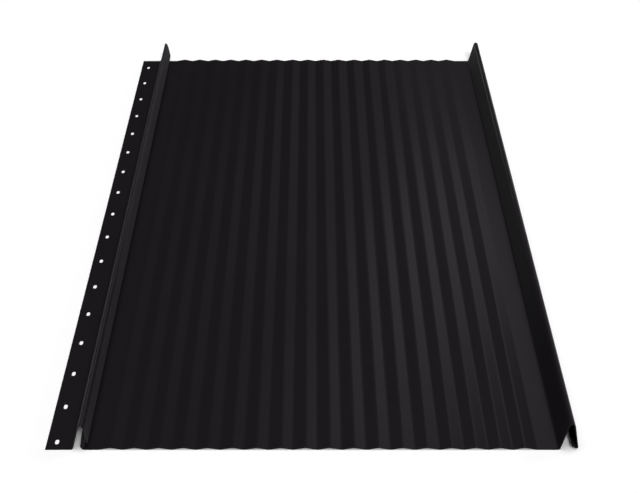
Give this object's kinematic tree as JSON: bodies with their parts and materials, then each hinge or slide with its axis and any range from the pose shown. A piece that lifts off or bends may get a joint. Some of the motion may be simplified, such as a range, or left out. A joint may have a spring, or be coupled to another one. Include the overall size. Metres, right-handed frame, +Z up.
{
  "type": "corrugated roof panel",
  "caption": "Standing-seam roof panel of coated sheet steel with a finely corrugated pan, a slotted nailing flange, a barbed male rib and a hooked female rib that snap together.",
  "frame": {"origin": "middle of the panel's box, on the plane it lies on", "axes": "+X across the panel from the nailing flange to the female rib, +Y along the waves, +Z up"},
  "size_m": [0.5458, 1, 0.0326],
  "materials": {
    "coated_steel": "satin polyester coating on galvanised sheet steel"
  },
  "bodies": {
    "root": {"roof_panel": "coated_steel"}
  },
  "joints": []
}
